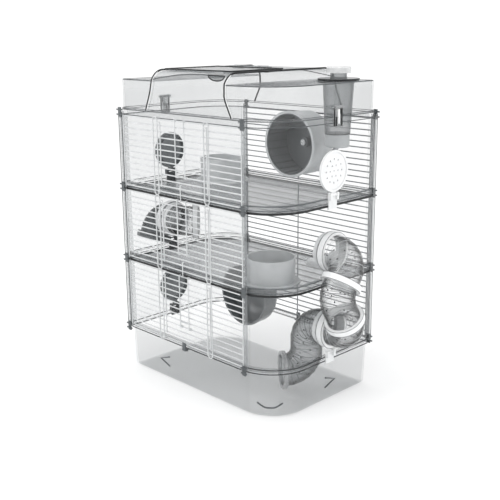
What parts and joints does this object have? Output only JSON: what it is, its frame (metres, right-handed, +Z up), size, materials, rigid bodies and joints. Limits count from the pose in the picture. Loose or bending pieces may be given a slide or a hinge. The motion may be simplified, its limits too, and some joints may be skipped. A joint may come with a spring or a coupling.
{
  "type": "hamster cage",
  "caption": "Clear multi-storey hamster cage: wire fronts with doors, deep tray, domed lid with hatch, wheel, bowls, nest, bottle and ribbed tunnels.",
  "frame": {"origin": "centre of the tray's underside, midway along the length and depth", "axes": "+X along the long side towards the outside tunnel run, -Y towards the doors, +Z up"},
  "size_m": [0.4988, 0.247, 0.5264],
  "materials": {
    "clear_tray": "clear, glossy",
    "clear_rim": "clear, glossy",
    "smoked_floor": "translucent grey, glossy",
    "clear_panel": "clear, glossy",
    "wire": "light grey enamel",
    "grey_post": "light grey, satin",
    "dark_clip": "grey, satin",
    "white_ring": "white, glossy",
    "clear_tube": "pale smoke, glossy",
    "smoked_tube": "dark smoke, glossy",
    "grey_plastic": "grey, satin",
    "smoked_cover": "dark smoke, glossy",
    "steel": "bright",
    "clear_lid": "clear, glossy"
  },
  "bodies": {
    "cage": {"back_grid_1": "wire", "back_grid_2": "wire", "back_grid_3": "wire", "base_rim": "clear_rim", "columns": "clear_panel", "cover_clips": "dark_clip", "front_grid_1": "wire", "front_grid_2": "wire", "front_grid_3": "wire", "inner_elbow": "smoked_tube", "landing_tongue": "grey_plastic", "left_elbow": "clear_tube", "left_panel_1": "clear_panel", "left_panel_2": "clear_panel", "left_panel_3": "clear_panel", "nest": "grey_plastic", "outer_elbow_high": "clear_tube", "outer_elbow_low": "clear_tube", "outer_tube": "clear_tube", "platform_1": "smoked_floor", "platform_2": "smoked_floor", "pod_cap": "smoked_tube", "pod_elbow": "smoked_tube", "port_ring_high": "white_ring", "port_ring_left": "white_ring", "port_ring_low": "white_ring", "posts": "grey_post", "right_panel_1": "clear_panel", "right_panel_2": "clear_panel", "right_panel_3": "clear_panel", "rim_clips": "dark_clip", "top_rim": "clear_rim", "tray": "clear_tray", "tray_clips": "dark_clip", "tube_rings": "white_ring", "wheel_axle": "steel", "wheel_stand": "grey_plastic"},
    "lid": {"lid": "clear_lid", "lid_pins": "steel"},
    "hatch": {"hatch": "clear_lid"},
    "end_latch_right": {"end_latch_right": "clear_rim"},
    "end_latch_left": {"end_latch_left": "clear_rim"},
    "bottle": {"bottle": "smoked_cover", "bottle_base": "grey_plastic", "bottle_spout": "steel"},
    "bottle_cap": {"bottle_cap": "white_ring"},
    "wheel": {"wheel": "grey_plastic"},
    "bowl_1": {"bowl_1": "grey_plastic"},
    "bowl_2": {"bowl_2": "grey_plastic"},
    "mouth_elbow": {"mouth_elbow": "smoked_tube", "mouth_ring": "white_ring"},
    "cover_left_1": {"cover_left_1": "smoked_cover"},
    "cover_left_3": {"cover_left_3": "smoked_cover"},
    "cover_right_3": {"cover_right_3": "white_ring"},
    "door_1": {"door_1": "wire"},
    "door_latch_1": {"door_latch_1": "wire"},
    "door_2": {"door_2": "wire"},
    "door_latch_2": {"door_latch_2": "wire"},
    "door_3": {"door_3": "wire"},
    "door_latch_3": {"door_latch_3": "wire"}
  },
  "joints": [
    {"name": "wheel_spin", "type": "hinge", "parent": "cage", "child": "wheel", "pos_m": [0.052, 0.05, 0.4], "axis": [0, 1, 0], "continuous": true},
    {"name": "door_1_hinge", "type": "hinge", "parent": "cage", "child": "door_1", "pos_m": [0, -0.118, 0.07981], "axis": [1, 0, 0], "range_deg": [0, 100]},
    {"name": "door_latch_1_hinge", "type": "hinge", "parent": "door_1", "child": "door_latch_1", "pos_m": [0, -0.118, 0.10865], "axis": [1, 0, 0], "range_deg": [0, 30]},
    {"name": "door_2_hinge", "type": "hinge", "parent": "cage", "child": "door_2", "pos_m": [0, -0.118, 0.20481], "axis": [1, 0, 0], "range_deg": [0, 100]},
    {"name": "door_latch_2_hinge", "type": "hinge", "parent": "door_2", "child": "door_latch_2", "pos_m": [0, -0.118, 0.23365], "axis": [1, 0, 0], "range_deg": [0, 30]},
    {"name": "door_3_hinge", "type": "hinge", "parent": "cage", "child": "door_3", "pos_m": [0, -0.118, 0.32981], "axis": [1, 0, 0], "range_deg": [0, 100]},
    {"name": "door_latch_3_hinge", "type": "hinge", "parent": "door_3", "child": "door_latch_3", "pos_m": [0, -0.118, 0.35865], "axis": [1, 0, 0], "range_deg": [0, 30]},
    {"name": "lid_lift", "type": "slide", "parent": "cage", "child": "lid", "axis": [0, 0, 1], "range_m": [0, 0.12]},
    {"name": "hatch_hinge", "type": "hinge", "parent": "lid", "child": "hatch", "pos_m": [0, 0.016, 0.5238], "axis": [-1, 0, 0], "range_deg": [0, 110]},
    {"name": "end_latch_right_hinge", "type": "hinge", "parent": "lid", "child": "end_latch_right", "pos_m": [0.1797, 0.0175, 0.47], "axis": [0, -1, 0], "range_deg": [0, 80]},
    {"name": "end_latch_left_hinge", "type": "hinge", "parent": "lid", "child": "end_latch_left", "pos_m": [-0.1797, -0.0175, 0.47], "axis": [0, 1, 0], "range_deg": [0, 80]},
    {"name": "bottle_lift", "type": "slide", "parent": "lid", "child": "bottle", "axis": [0, 0, 1], "range_m": [0, 0.13]},
    {"name": "bottle_cap_turn", "type": "hinge", "parent": "bottle", "child": "bottle_cap", "pos_m": [0.141, 0.065, 0.5165], "axis": [0, 0, 1], "continuous": true},
    {"name": "bowl_1_lift", "type": "slide", "parent": "cage", "child": "bowl_1", "axis": [0, 0, 1], "range_m": [0, 0.06]},
    {"name": "bowl_2_lift", "type": "slide", "parent": "cage", "child": "bowl_2", "axis": [0, 0, 1], "range_m": [0, 0.06]},
    {"name": "mouth_elbow_swivel", "type": "hinge", "parent": "cage", "child": "mouth_elbow", "pos_m": [0.1288, 0.011, 0.0856], "axis": [0, 0, 1], "range_deg": [-50, 25]},
    {"name": "cover_right_3_hinge", "type": "hinge", "parent": "cage", "child": "cover_right_3", "pos_m": [0.1799, 0.011, 0.34], "axis": [0, 1, 0], "range_deg": [0, 100]},
    {"name": "cover_left_1_hinge", "type": "hinge", "parent": "cage", "child": "cover_left_1", "pos_m": [-0.1799, -0.011, 0.086], "axis": [0, -1, 0], "range_deg": [0, 100]},
    {"name": "cover_left_3_hinge", "type": "hinge", "parent": "cage", "child": "cover_left_3", "pos_m": [-0.1799, -0.011, 0.34], "axis": [0, -1, 0], "range_deg": [0, 100]}
  ]
}
